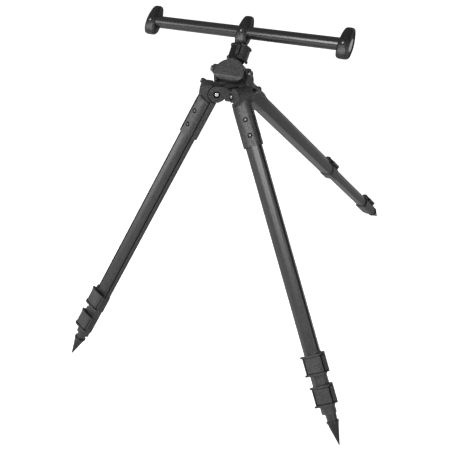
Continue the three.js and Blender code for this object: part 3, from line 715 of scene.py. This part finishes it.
class Bench:
    """Holds the record and makes the scene's pieces."""

    def __init__(self, record: dict[str, Any]) -> None:
        """Reads bodies, slots and joints.

        Args:
            record: The frame's record.
        """
        self.slots = {row["node"]: Slot(row["material_slot"]) for row in record["subparts"]}
        self.bodies = {node: body for body, nodes in record["behaviour"]["bodies"].items()
                       for node in nodes}
        self.joints = {joint["name"]: joint for joint in record["behaviour"]["joints"]}
        self.row = Row()

    def add(self, name: str, mesh: Any, slot: Slot, body: str,
            finish: Finish | None = None) -> Any:
        """Adds a piece that rides on a body.

        Args:
            name: Its name.
            mesh: Its mesh, in the frame's metres.
            slot: Its material slot.
            body: The body that it rides on.
            finish: Its finish, where it isn't its slot's usual one.

        Returns:
            The object.
        """
        if not mesh.materials:
            mesh.materials.append((finish or FINISH_OF[slot]).material())
        piece = linked(name, mesh)
        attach(piece, body)
        return piece

    def add_row(self, name: str, copy: Any, slot: Slot, body: str,
                values: dict[str, Any]) -> None:
        """Adds a row of copies as one piece that rides on a body.

        Args:
            name: Its name.
            copy: The small mesh.
            slot: Its material slot.
            body: The body that it rides on.
            values: The row's inputs by name.
        """
        self.add(name, self.row.lay(name, copy, values), slot, body)

    def finish(self, node: str, soft_edge: float, axes: Axes | None = None,
               finish: Finish | None = None) -> Any:
        """Stands a softened and finished copy in for a CAD node.

        Args:
            node: The CAD node.
            soft_edge: Width of its rounded edges, in metres.
            axes: Axes that its grain follows.
            finish: Its finish, where it isn't its slot's usual one.

        Returns:
            The new object.
        """
        work = bmesh.new()
        work.from_mesh(bpy.data.objects[node].data)
        bmesh.ops.remove_doubles(work, verts=work.verts, dist=MERGE_DISTANCE)
        bmesh.ops.dissolve_limit(work, angle_limit=FLAT_ANGLE, verts=work.verts, edges=work.edges)
        edge_layer = work.faces.layers.float.new("edge")
        # Faces in narrow grooves and slits are marked for painted shade, and their edges are not
        # bevelled
        crevice_shade_layer = work.faces.layers.float.new("crevice")
        for face in work.faces:
            face[crevice_shade_layer] = 1.0 if is_crevice(face) else 0.0
        sharp = [edge for edge in work.edges
                 if len(edge.link_faces) == 2 and edge.calc_face_angle_signed(0.0) > SHARP_ANGLE
                 and not any(face[crevice_shade_layer] for face in edge.link_faces)]
        if sharp:
            made = bmesh.ops.bevel(work, geom=sharp, offset=soft_edge, offset_type="OFFSET",
                                   segments=2, profile=0.5, affect="EDGES", clamp_overlap=True)
            for face in made["faces"]:
                face[edge_layer] = 1.0
        for face in work.faces:
            face.smooth = True
        mesh = bpy.data.meshes.new(f"{node}_finished")
        work.to_mesh(mesh)
        work.free()
        mesh.set_sharp_from_angle(angle=SMOOTH_ANGLE)
        mesh = weighted(mesh)
        slot, body = self.slots[node], self.bodies[node]
        finish = finish or FINISH_OF[slot]
        suffix, turn = (f"_{body}", axes.angles()) if axes else ("", (0.0, 0.0, 0.0))
        mesh.materials.append(finish.material(suffix, turn))
        piece = self.add(f"{node}_finished", mesh, slot, body)
        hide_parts(node)
        LOG.info("%s: %d faces", node, len(mesh.polygons))
        return piece


def turn_arm(mesh: Any, joint: dict[str, Any], angle: float) -> None:
    """Turns a crank's arm about its joint and leaves its boss in place.

    Args:
        mesh: The crank's mesh.
        joint: The record's joint.
        angle: The turn, in radians.
    """
    axis = Vector(joint["axis"]).normalized()
    pivot = Vector(joint["pos_m"])
    for vertex in mesh.vertices:
        arm = vertex.co - pivot
        arm -= axis * arm.dot(axis)
        share = min(max((arm.length - BOSS_RADIUS) / BOSS_BLEND, 0.0), 1.0)
        turn = Matrix.Rotation(angle * share, 3, axis)
        vertex.co = pivot + turn @ (vertex.co - pivot)


def is_crevice(face: Any) -> bool:
    """Tells whether a face lies in a narrow groove or slit.

    Args:
        face: A face of the CAD mesh.

    Returns:
        True where it is narrow and has a hollow edge.
    """
    longest = max(edge.calc_length() for edge in face.edges)
    width = face.calc_area() / max(longest, 1e-9)
    hollow = any(edge.calc_face_angle_signed(0.0) < CREVICE_FOLD for edge in face.edges
                 if len(edge.link_faces) == 2 and edge.calc_length() > CREVICE_SHARE * longest)
    return hollow and width < CREVICE_WIDTH and longest > CREVICE_LENGTH


@dataclass
class Leg:
    """One leg: bracket, tubes, clamps, levers, foot and spike, with screws and strips of painted
    shade.
    """

    name: str
    half: float = 15.6 * MM
    shoulder: float = 5.6 * MM
    ridge: float = 3.9 * MM
    outer: float = 17.9 * MM
    offset: float = 9.0 * MM
    first_screw: float = 46.0 * MM
    screw_step: float = 28.0 * MM
    screw_sink: float = 0.7 * MM
    screw_radius: float = 2.4 * MM
    screw_height: float = 1.35 * MM
    screw_socket: float = 1.3 * MM
    screw_spread: float = 3.0
    screw_seed: int = 7
    washer_radius: float = 4.4 * MM
    washer_height: float = 0.95 * MM
    bracket_edge: float = 0.9 * MM
    clamp_edge: float = 0.6 * MM
    lever_edge: float = 0.5 * MM
    lever_height: float = 36.0 * MM
    lever_lip: float = 3.4 * MM
    # Dark strips of painted shade along a lever's lips and the edges of its panel
    shade_line_width: float = 1.1 * MM
    shade_line_seed: int = 3
    far_seam: tuple[float, float] = (0.35, 0.62)
    near_seam: tuple[float, float] = (0.0, 0.40)
    knob_radius: float = 1.6 * MM
    knob_height: float = 3.4 * MM
    knob_spread: float = 6.0
    knob_seed: int = 5
    bolt_face: float = 14.3 * MM
    ring_outer: float = 5.8 * MM
    ring_inner: float = 3.5 * MM
    ring_height: float = 0.3 * MM
    cap_radius: float = 3.4 * MM
    cap_height: float = 0.55 * MM
    cap_socket: float = 1.5 * MM
    bracket_top: float = 24.0 * MM
    bracket_foot: float = 92.5 * MM
    tube_foot: float = 459.0 * MM
    tube_outer: float = 15.5 * MM
    tube_ridge: float = 2.8 * MM
    # A dark strip of painted shade along the ridge of the bracket and the upper tube
    ridge_shade_from: float = 1.2 * MM
    parting_to: float = 0.1 * MM
    ridge_shade_deep: float = 0.5 * MM
    ridge_shade_proud: float = 0.12 * MM
    ridge_shade_gap: float = 0.5 * MM

    def axes(self, bench: Bench) -> Axes:
        """The leg's own axes: X along its hinge, Z up the leg.

        Args:
            bench: Holds the joints.

        Returns:
            The axes at the hinge.
        """
        hinge = bench.joints[f"{self.name}_leg_splay"]
        slide = bench.joints[f"{self.name}_mid_slide"]
        return Axes(Vector(hinge["pos_m"]), Vector(hinge["axis"]), -Vector(slide["axis"]))

    def build_screws(self, bench: Bench, axes: Axes) -> None:
        """Sets two screws on each slant of the bracket, each on a washer finished near black as
        painted shade.

        Args:
            bench: Makes the pieces.
            axes: The leg's axes.
        """
        body = f"{self.name}_leg"
        for side, word in ((-1, "near"), (1, "far")):
            across = Vector((side * (self.outer - self.shoulder),
                             self.half - self.ridge, 0.0)).normalized()
            outward = (axes.x * across.x + axes.y * across.y).normalized()
            base = Axes(Vector(), axes.z, outward).matrix()
            middle = Vector((side * (self.half + self.ridge) / 2,
                             (self.outer + self.shoulder) / 2, 0.0))
            start = (axes.origin + axes.x * middle.x + axes.y * (middle.y + self.offset)
                     - axes.z * self.first_screw - outward * self.screw_sink)
            washer = collar_ring("washer", self.washer_radius, self.screw_radius,
                                 self.washer_height)
            screw = socket_screw("screw", self.screw_radius, self.screw_height,
                                 self.screw_socket)
            for kind, copy, spread, finish in (
                    ("screw_washers", washer, 0.0, PAINTED_SHADE),
                    ("bracket_screws", screw, self.screw_spread, FASTENER)):
                copy.transform(base)
                bench.add_row(f"{self.name}_{word}_{kind}", copy, Slot.FASTENER, body, {
                    "Count": 2, "Start": start, "Step": -axes.z * self.screw_step,
                    "Axis": outward, "Seed": self.screw_seed + side, "Spread": spread,
                    "Finish": finish.material()})

    def build_lever_face(self, bench: Bench, axes: Axes, part: str) -> None:
        """Lines a lever's panel with dark strips of painted shade and sets a knob on each lip's
        end.

        Args:
            bench: Makes the pieces.
            axes: The leg's axes.
            part: Upper or lower.
        """
        node = f"{self.name}_{part}_lever"
        body, side = bench.bodies[node], SIDE_OF[self.name]
        plate = PANELS[part]
        path = [Vector((side * x, y, 0.0)) * MM for x, y in plate.path]
        turn = Axes(Vector(), axes.x, axes.z).matrix()
        pivot = Vector(bench.joints[f"{node}_flip"]["pos_m"]) - axes.origin
        brim = pivot.dot(axes.z) + self.lever_height / 2.0 - self.lever_lip
        top = axes.origin + axes.z * brim
        reach = self.lever_height - 2.0 * self.lever_lip
        # These strips are painted shade: near black, under the lips and along the panel's edges
        level = ribbon("level_seam", path, self.shade_line_width)
        level.transform(turn)
        bench.add_row(f"{node}_level_seams", level, Slot.LEVER, body, {
            "Count": 2, "Start": top, "Step": -axes.z * (reach - self.shade_line_width),
            "Axis": axes.z, "Spread": 0.0, "Seed": self.shade_line_seed,
            "Finish": PAINTED_SHADE.material()})
        inset = reach - 2.0 * self.shade_line_width
        upright = joined(f"{node}_upright_seams", [
            ribbon(word, [start.lerp(stop, share) for share in shares], inset)
            for word, start, stop, shares in (("far", path[-2], path[-1], self.far_seam),
                                              ("near", path[0], path[1], self.near_seam))])
        upright.transform(axes.matrix(0.0, 0.0, brim - self.shade_line_width))
        bench.add(f"{node}_upright_seams", upright, Slot.LEVER, body, PAINTED_SHADE)
        knob = stacked("knob", [
            ring_points(self.knob_radius * width, self.knob_height * height, KNOB_POINTS)
            for width, height in KNOB_PROFILE], turn)
        ear = axes.x * (side * plate.ear[0] * MM) + axes.y * (plate.ear[1] * MM)
        bench.add_row(f"{node}_knobs", knob, Slot.LEVER, body, {
            "Count": 2, "Start": top + ear + axes.z * (self.lever_lip / 2.0),
            "Step": -axes.z * (reach + self.lever_lip), "Axis": axes.z,
            "Spread": self.knob_spread, "Seed": self.knob_seed,
            "Finish": LEVERED.material()})

    def build_ridge_seams(self, bench: Bench, axes: Axes) -> None:
        """Draws a dark strip of painted shade along the ridge of the bracket and the upper tube.

        Args:
            bench: Makes the pieces.
            axes: The leg's axes.
        """
        side = -SIDE_OF[self.name]
        for node, reach, foot, top, out in (
                ("bracket", self.outer, self.bracket_foot, self.bracket_top, self.ridge),
                ("upper_tube", self.tube_outer, self.tube_foot, self.bracket_foot,
                 self.tube_ridge)):
            full = f"{self.name}_{node}"
            start, stop = sorted((side * (out - self.ridge_shade_from),
                                  side * (out - self.parting_to)))
            y = self.offset + reach
            shade_line = box(f"{full}_seam", Vector((start, y - self.ridge_shade_deep, -foot)),
                       Vector((stop, y + self.ridge_shade_proud, -top - self.ridge_shade_gap)))
            shade_line.transform(axes.matrix())
            bench.add(f"{full}_seam", shade_line, bench.slots[full], bench.bodies[full], PAINTED_SHADE)

    def build_bolt_cap(self, bench: Bench, axes: Axes) -> None:
        """Sets a ring finished near black as painted shade, and a socket head, on the hinge bolt.

        Args:
            bench: Makes the pieces.
            axes: The leg's axes.
        """
        node = f"{self.name}_hinge_bolt"
        facing = axes.x * BOLT_SIDE_OF[self.name]
        face = Axes(axes.origin, axes.z, facing).matrix(0.0, 0.0, self.bolt_face)
        ring = collar_ring(f"{node}_ring", self.ring_outer, self.ring_inner, self.ring_height)
        head = socket_screw(f"{node}_socket", self.cap_radius, self.cap_height,
                            self.cap_socket)
        for mesh, finish in ((ring, PAINTED_SHADE), (head, POLISHED)):
            mesh.transform(face)
            bench.add(mesh.name, mesh, Slot.FASTENER, bench.bodies[node], finish)

    def build(self, bench: Bench) -> None:
        """Builds the leg's pieces.

        Args:
            bench: Makes the pieces.
        """
        axes = self.axes(bench)
        bench.finish(f"{self.name}_bracket", self.bracket_edge, axes)
        for part in ("upper", "mid", "lower"):
            bench.finish(f"{self.name}_{part}_tube", TUBE_EDGE, axes)
        for part in ("upper", "lower"):
            bench.finish(f"{self.name}_{part}_clamp", self.clamp_edge, axes)
            bench.finish(f"{self.name}_{part}_lever", self.lever_edge, axes)
            bench.finish(f"{self.name}_{part}_lever_pin", PIN_EDGE)
        bench.finish(f"{self.name}_foot", FOOT_EDGE, axes)
        bench.finish(f"{self.name}_spike", TUBE_EDGE, axes)
        self.build_screws(bench, axes)
        self.build_ridge_seams(bench, axes)
        self.build_bolt_cap(bench, axes)
        for part in ("upper", "lower"):
            self.build_lever_face(bench, axes, part)


@dataclass
class Hub:
    """The cast hub with its hinge bolts and crank levers.

    The two front crank arms are drawn back a little, so they clear the hub to the end.
    """

    arm_back: float = math.radians(-2.6)
    cast_edge: float = 0.5 * MM
    lever_edge: float = 0.5 * MM

    def build(self, bench: Bench) -> None:
        """Builds the hub's pieces.

        Args:
            bench: Makes the pieces.
        """
        bench.finish("hub", self.cast_edge)
        for name in ("left", "right", "back"):
            bench.finish(f"{name}_hinge_bolt", TUBE_EDGE)
            lever = bench.finish(f"{name}_lock_lever", self.lever_edge)
            if name != "back":
                turn_arm(lever.data, bench.joints[f"{name}_lock_turn"], self.arm_back)
        for node in ("tilt_bolt", "tilt_nut"):
            bench.finish(node, TUBE_EDGE)


@dataclass
class Head:
    """The tilting knuckle with its collar."""

    knuckle_edge: float = 1.2 * MM

    def build(self, bench: Bench) -> None:
        """Builds the head's pieces.

        Args:
            bench: Makes the pieces.
        """
        bench.finish("tilt_knuckle", self.knuckle_edge)
        bench.finish("head_collar", COLLAR_EDGE, finish=COLLARED)
        bench.finish("collar_lever", COLLAR_EDGE)
        bench.finish("collar_lever_pin", PIN_EDGE)


@dataclass
class RodBar:
    """The rod bar with its stem and three rests.

    A rest's outline is drawn in by taper towards its top, and the powers say how blunt it
    is. Towards the rest's two ends the outline shrinks to the end shares, and its top is
    thinner along the bar.
    """

    bar_height: float = 74.3 * MM
    rest_spacing: float = 194.0 * MM
    rest_half: float = 11.5 * MM
    up: float = 31.0 * MM
    down: float = 25.5 * MM
    wide: float = 13.5 * MM
    centre_floor: float = 22.4 * MM
    taper: float = 0.24
    upper_power: float = 0.78
    lower_power: float = 0.95
    height_power: float = 0.85
    rounding: float = 3.4
    slices: int = 14
    end_width: float = 0.20
    end_up: float = 0.78
    end_down: float = 0.70
    top_thinning: float = 0.26
    thinning_power: float = 1.5
    dish_share: float = 0.95
    dish_recess: float = 1.6 * MM
    dish_width: float = 4.6 * MM
    dish_length: float = 12.0 * MM
    screw_radius: float = 2.2 * MM
    screw_height: float = 0.9 * MM
    screw_socket: float = 1.1 * MM
    screw_drop: float = 2.0 * MM
    screw_sink: float = 0.5 * MM

    def axes(self, bench: Bench) -> Axes:
        """The head's own axes: X along the bar, Z up its stem.

        Args:
            bench: Holds the joints.

        Returns:
            The axes at the head's pivot.
        """
        swivel = bench.joints["bar_swivel"]
        return Axes(Vector(swivel["pos_m"]), Vector((1.0, 0.0, 0.0)), Vector(swivel["axis"]))

    def outline(self, steps: int = 12) -> list[Vector]:
        """The rest's outline in Y and Z, tall and blunt above and short below.

        Args:
            steps: Points on each quarter.

        Returns:
            The points, anticlockwise seen along X.
        """
        points = []
        for i in range(steps * 4):
            angle = math.pi / 2 * i / steps
            across, along = math.cos(angle), math.sin(angle)
            reach = self.up if along > 0 else self.down
            drawn_in = 1.0 - self.taper * max(along, 0.0)
            power = self.upper_power if along > 0 else self.lower_power
            y = math.copysign(abs(across) ** power, across) * self.wide * drawn_in
            z = math.copysign(abs(along) ** self.height_power, along) * reach
            points.append(Vector((0.0, y, z)))
        return points

    def rest_mesh(self, name: str, centre: float, axes: Axes, floor: float) -> Any:
        """A rest rounded over on both ends, with a hollow in a side rest's outer one.

        Args:
            name: The mesh's name.
            centre: Its place along the bar.
            axes: The head's axes.
            floor: How far down it reaches.

        Returns:
            The mesh.
        """
        side = (centre > 0.0) - (centre < 0.0)
        rings = []
        for i in range(self.slices + 1):
            share = -math.cos(math.pi * i / self.slices)
            if side * share > self.dish_share:
                continue
            full = (1.0 - abs(share) ** self.rounding) ** (1.0 / self.rounding)
            shrink = self.end_width + (1.0 - self.end_width) * full
            rings.append([self.rounded(point, share * self.rest_half, shrink, floor)
                          for point in self.outline()])
        rim = rings[-1] if side > 0 else rings[0]
        for scale, depth in HOLLOW_RINGS if side else ():
            inner = [Vector((point.x - side * depth, point.y * scale, point.z * scale))
                     for point in rim]
            rings.insert(len(rings) if side > 0 else 0, inner)
        return stacked(name, rings, axes.matrix(centre, 0.0, self.bar_height))

    def rounded(self, point: Vector, x: float, shrink: float, floor: float) -> Vector:
        """Draws an outline's point in towards the rest's ends and its top.

        Args:
            point: A point of the outline.
            x: How far it is along the bar from the rest's middle.
            shrink: How far the outline is drawn in here.
            floor: How far down the rest reaches.

        Returns:
            The point.
        """
        least = self.end_up if point.z > 0 else self.end_down
        pull = least + (1.0 - least) * shrink
        height = max(point.z / self.up, 0.0)
        thin = 1.0 - self.top_thinning * height ** self.thinning_power
        return Vector((x * thin, point.y * shrink, max(point.z * pull, -floor)))

    def build(self, bench: Bench) -> None:
        """Builds the bar's pieces.

        Args:
            bench: Makes the pieces.
        """
        axes = self.axes(bench)
        bench.finish("bar_stem", COLLAR_EDGE)
        lengthwise = Axes(axes.origin, axes.y, axes.x)
        bench.finish("rod_bar", TUBE_EDGE, lengthwise, BARRED)
        for name, side in (("left", -1), ("centre", 0), ("right", 1)):
            self.build_rest(bench, axes, f"{name}_rest", side)

    def build_rest(self, bench: Bench, axes: Axes, node: str, side: int) -> None:
        """Builds a rest with its set screw, and a side rest's dish, coloured light grey as a
        painted highlight.

        Args:
            bench: Makes the pieces.
            axes: The head's axes.
            node: The rest's CAD node.
            side: -1 for the left rest, 0 for the centre one, 1 for the right one.
        """
        body = bench.bodies[node]
        floor = self.down if side else self.centre_floor
        mesh = self.rest_mesh(f"{node}_finished", side * self.rest_spacing, axes, floor)
        piece = bench.add(f"{node}_finished", mesh, Slot.REST, body)
        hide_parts(node)
        screw = socket_screw(f"{node}_set_screw", self.screw_radius, self.screw_height,
                             self.screw_socket)
        front = Axes(axes.origin, axes.x, -axes.y)
        screw.transform(front.matrix(side * self.rest_spacing,
                                     self.bar_height - self.screw_drop,
                                     self.wide - self.screw_sink))
        bench.add(f"{node}_set_screw", screw, Slot.FASTENER, body, POLISHED)
        if side:
            # The dish is coloured light grey: a painted highlight on the rest's dark end
            dish = stacked(f"{node}_dish", [
                [Vector((point.x * self.dish_width, point.y * self.dish_length, height))
                 for point in ring_points(reach, 0.0, DISH_POINTS)]
                for reach, height in DISH_PROFILE], self.end_matrix(axes, side))
            bench.add(f"{node}_dish", dish, Slot.REST, body, DISH_HIGHLIGHT)
        LOG.info("%s: %d faces", node, len(mesh.polygons))

    def end_matrix(self, axes: Axes, side: int) -> Matrix:
        """The transform to the floor of the dish in a side rest's outer face.

        Args:
            axes: The head's axes.
            side: -1 for the left rest, 1 for the right one.

        Returns:
            The transform.
        """
        z_out = axes.x * side
        x_in = axes.y
        turn = Matrix((x_in, z_out.cross(x_in), z_out)).transposed().to_4x4()
        place = (axes.origin + axes.z * self.bar_height
                 + z_out * (self.rest_spacing + self.rest_half * self.dish_share
                            - self.dish_recess))
        return Matrix.Translation(place) @ turn


# The camera's right, down and forward directions and its place, fitted to the photograph
CAMERA_ROWS = (
    (0.852724, 0.520753, -0.040969),
    (0.202780, -0.402285, -0.892775),
    (-0.481397, 0.752983, -0.448636),
)
CAMERA_PLACE = (0.84414, -1.61200, 1.08493)

# Each softbox's name, place, size in metres and power in watts, and the point they all face
SOFTBOXES = (
    ("key_softbox", (-0.5, -2.7, 1.6), 1.5, 76.0),
    ("left_softbox", (-2.3, -2.1, 1.2), 1.4, 35.0),
    ("right_softbox", (2.3, -1.5, 1.2), 1.4, 24.0),
    ("rear_softbox", (0.6, 2.4, 1.4), 1.2, 10.0),
)
LIGHT_AIM = (0.0, -0.05, 0.35)


@dataclass
class Studio:
    """Floor, light and camera."""

    focal_pixels: float = 954.25
    sensor: float = 36.0
    clip_end: float = 60.0
    floor_half: float = 9.0
    paper_level: float = 0.82
    floor_glow: float = 0.80
    world_level: float = 0.22

    def build_camera(self) -> None:
        """Places the camera where the photograph was taken from."""
        data = bpy.data.cameras.new("photo_camera")
        data.sensor_width = self.sensor
        data.lens = self.focal_pixels / PHOTO_PIXELS * self.sensor
        data.clip_end = self.clip_end
        camera = linked("photo_camera", data)
        rotation = Matrix(CAMERA_ROWS)
        basis = Matrix((rotation[0], -rotation[1], -rotation[2])).transposed()
        camera.matrix_world = Matrix.Translation(Vector(CAMERA_PLACE)) @ basis.to_4x4()
        bpy.context.scene.camera = camera

    def build_floor(self) -> None:
        """Lays a pale floor that keeps the tripod's shadow."""
        mesh = bpy.data.meshes.new("studio_floor")
        h = self.floor_half
        mesh.from_pydata([(-h, -h, 0), (h, -h, 0), (h, h, 0), (-h, h, 0)], [], [(0, 1, 2, 3)])
        floor = linked("studio_floor", mesh)
        material = bpy.data.materials.new("studio_floor")
        material.use_nodes = True
        pen = Pen(material.node_tree)
        seen = pen.node("LightPath", output="Is Camera Ray")
        paper = pen.node("BsdfDiffuse", {"Color": grey(self.paper_level)})
        glow = pen.node("Emission", {"Color": grey(1.0), "Strength": seen * self.floor_glow})
        both = pen.node("AddShader", {0: paper, 1: glow})
        pen.node("OutputMaterial", {"Surface": both})
        mesh.materials.append(material)

    def build_light(self) -> None:
        """Hangs the softboxes and sets the world."""
        world = bpy.data.worlds.new("studio_world")
        bpy.context.scene.world = world
        world.use_nodes = True
        pen = Pen(world.node_tree)
        seen = pen.node("LightPath", output="Is Camera Ray")
        sky = pen.node("Background", {
            "Color": grey(1.0), "Strength": self.world_level + seen * (1.0 - self.world_level)})
        pen.node("OutputWorld", {"Surface": sky})
        for name, place, size, power in SOFTBOXES:
            data = bpy.data.lights.new(name, "AREA")
            data.size = size
            data.energy = power
            lamp = linked(name, data)
            lamp.location = place
            aim = Vector(LIGHT_AIM) - Vector(place)
            lamp.rotation_mode = "QUATERNION"
            lamp.rotation_quaternion = aim.to_track_quat("-Z", "Y")

    def build(self) -> None:
        """Builds the whole studio."""
        self.build_camera()
        self.build_floor()
        self.build_light()
        bpy.context.scene.view_settings.view_transform = "Standard"
        LOG.info("studio ready")


def main() -> None:
    """Builds the finished tripod and its studio."""
    logging.basicConfig(level=logging.INFO, format="%(name)s: %(message)s")
    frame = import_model()
    bench = Bench(frame["record"])
    Hub().build(bench)
    for name in ("left", "right", "back"):
        Leg(name).build(bench)
    Head().build(bench)
    RodBar().build(bench)
    Studio().build()


if __name__ == "__main__":
    main()
